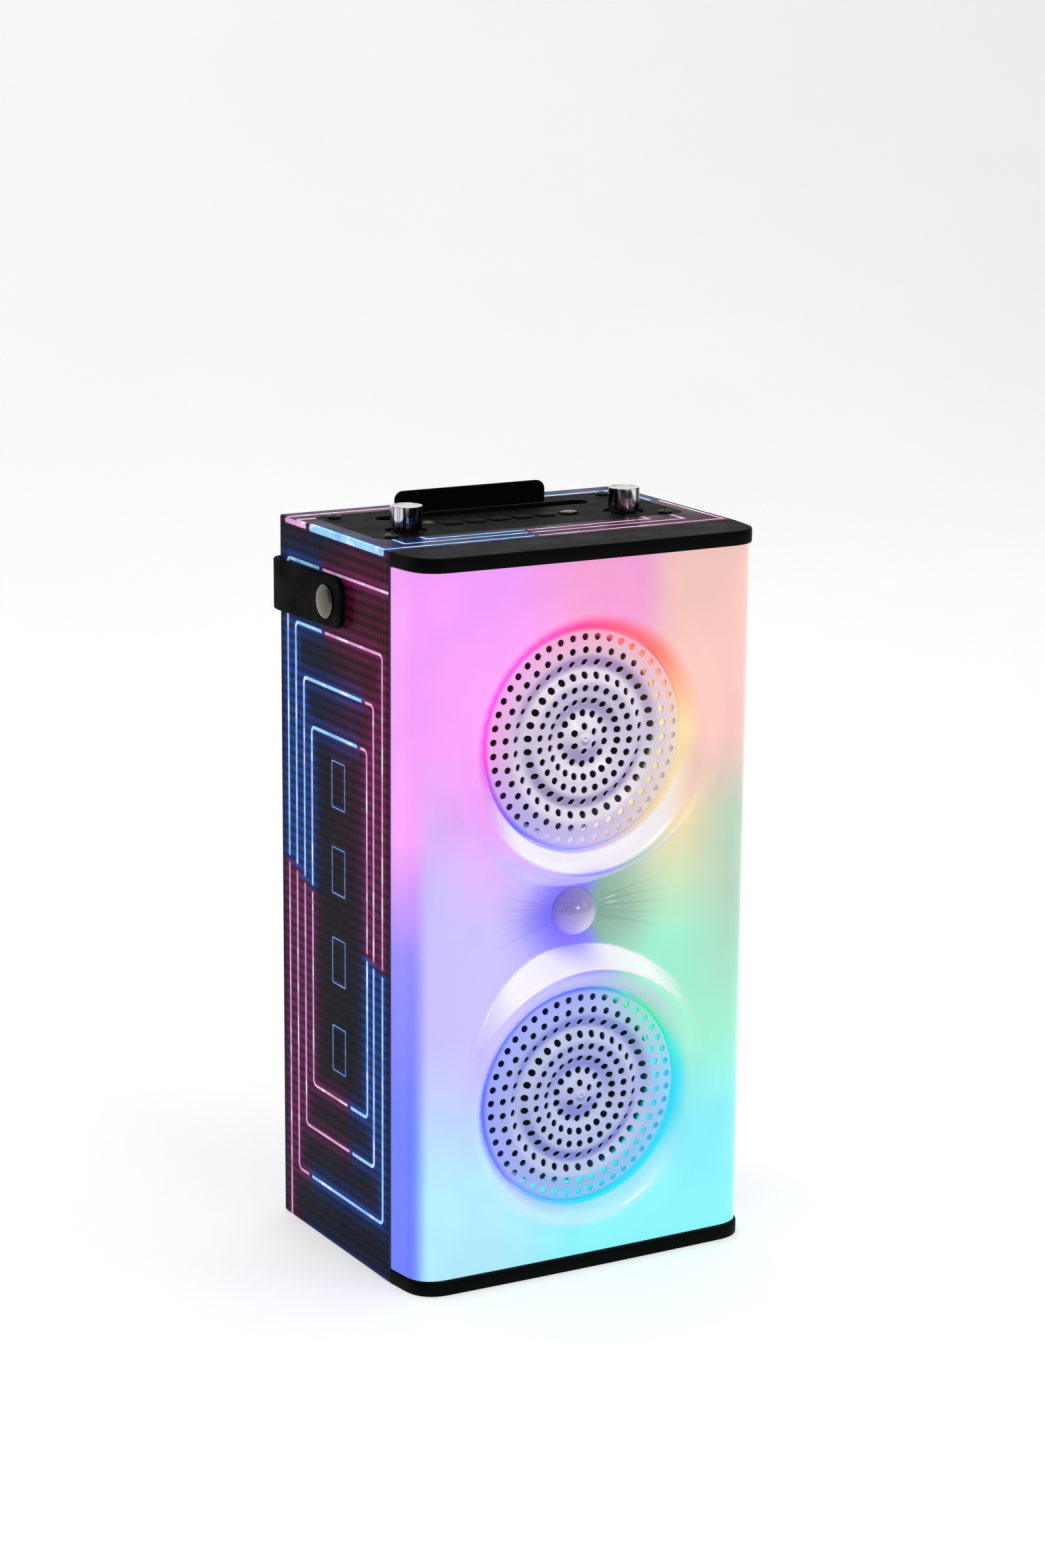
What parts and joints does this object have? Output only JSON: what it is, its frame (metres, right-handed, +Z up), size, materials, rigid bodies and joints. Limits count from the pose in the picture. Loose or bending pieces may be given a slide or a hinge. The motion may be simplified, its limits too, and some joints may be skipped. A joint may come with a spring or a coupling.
{
  "type": "party speaker",
  "caption": "Tall portable speaker cabinet with a glowing front shell, perforated driver covers, a light dome, top knobs and buttons, a device slot and a strap handle.",
  "frame": {"origin": "middle of the outer box at the base, on the surface the speaker stands on; the box includes the strap handle behind the cabinet", "axes": "+Z up; the lit front faces -Y; +X is the user's right when facing the front from outside"},
  "size_m": [0.2086, 0.1714, 0.3805],
  "materials": {
    "wrap": "MDF board with a glossy printed film",
    "board": "bare MDF",
    "black_plastic": "fine satin moulded texture",
    "diffuser": "glossy milky plastic, lit from behind",
    "cover_plastic": "white satin plastic",
    "dome_plastic": "frosted translucent plastic",
    "paper": "coated paper cone",
    "steel": "zinc plated",
    "magnet": "ferrite magnet with steel plates",
    "black_steel": "black oxide",
    "chrome": "bright plated",
    "satin_metal": "satin nickel",
    "silver_cap": "metallised plastic",
    "circuit_board": "solder mask",
    "cell_wrap": "shrink film",
    "strap": "coated leatherette"
  },
  "bodies": {
    "speaker": {"side_board_left": "wrap", "side_board_right": "wrap", "top_board": "wrap", "base_board": "wrap", "back_board": "wrap", "baffle_board": "board", "cap_base": "black_plastic", "cap_top": "black_plastic", "front_shell": "diffuser", "light_board": "circuit_board", "dome_lens": "dome_plastic", "dome_lamp": "circuit_board", "driver_cover_upper": "cover_plastic", "driver_cone_upper": "paper", "driver_basket_upper": "steel", "driver_magnet_upper": "magnet", "driver_cover_lower": "cover_plastic", "driver_cone_lower": "paper", "driver_basket_lower": "steel", "driver_magnet_lower": "magnet", "control_panel": "black_plastic", "slot_tray": "black_plastic", "device_rest": "black_plastic", "panel_screw_1": "black_steel", "panel_screw_2": "black_steel", "panel_screw_3": "black_steel", "panel_screw_4": "black_steel", "potentiometer_left": "steel", "lock_nut_left": "black_steel", "potentiometer_right": "steel", "lock_nut_right": "black_steel", "key_board": "circuit_board", "audio_socket": "satin_metal", "main_board": "circuit_board", "battery_pack": "cell_wrap", "charge_port": "black_plastic", "strap_rivet_left": "satin_metal", "strap_spacer_left": "steel", "rivet_washer_left": "steel", "strap_rivet_right": "satin_metal", "strap_spacer_right": "steel", "rivet_washer_right": "steel"},
    "knob_left": {"knob_left": "chrome", "knob_shaft_left": "steel"},
    "knob_right": {"knob_right": "chrome", "knob_shaft_right": "steel"},
    "strap": {"handle_strap": "strap"},
    "button_1": {"button_1": "black_plastic"},
    "button_2": {"button_2": "black_plastic"},
    "button_3": {"button_3": "black_plastic"},
    "button_4": {"button_4": "black_plastic"},
    "button_5": {"button_5": "black_plastic"},
    "button_6": {"button_6": "silver_cap"}
  },
  "joints": [
    {"name": "knob_left_turn", "type": "hinge", "parent": "speaker", "child": "knob_left", "pos_m": [-0.062, -0.00715, 0.3745], "axis": [0, 0, -1], "range_deg": [-150, 150]},
    {"name": "knob_right_turn", "type": "hinge", "parent": "speaker", "child": "knob_right", "pos_m": [0.062, -0.00715, 0.3745], "axis": [0, 0, -1], "range_deg": [-150, 150]},
    {"name": "button_1_press", "type": "slide", "parent": "speaker", "child": "button_1", "axis": [0, 0, -1], "range_m": [0, 0.0008], "stiffness_N_per_m": 500, "springref_m": -0.0012},
    {"name": "button_2_press", "type": "slide", "parent": "speaker", "child": "button_2", "axis": [0, 0, -1], "range_m": [0, 0.0008], "stiffness_N_per_m": 500, "springref_m": -0.0012},
    {"name": "button_3_press", "type": "slide", "parent": "speaker", "child": "button_3", "axis": [0, 0, -1], "range_m": [0, 0.0008], "stiffness_N_per_m": 500, "springref_m": -0.0012},
    {"name": "button_4_press", "type": "slide", "parent": "speaker", "child": "button_4", "axis": [0, 0, -1], "range_m": [0, 0.0008], "stiffness_N_per_m": 500, "springref_m": -0.0012},
    {"name": "button_5_press", "type": "slide", "parent": "speaker", "child": "button_5", "axis": [0, 0, -1], "range_m": [0, 0.0008], "stiffness_N_per_m": 500, "springref_m": -0.0012},
    {"name": "button_6_press", "type": "slide", "parent": "speaker", "child": "button_6", "axis": [0, 0, -1], "range_m": [0, 0.0008], "stiffness_N_per_m": 500, "springref_m": -0.0012},
    {"name": "strap_swing", "type": "hinge", "parent": "speaker", "child": "strap", "pos_m": [0, 0.00265, 0.3346], "axis": [1, 0, 0], "range_deg": [0, 90], "deforming": ["handle_strap"]}
  ]
}
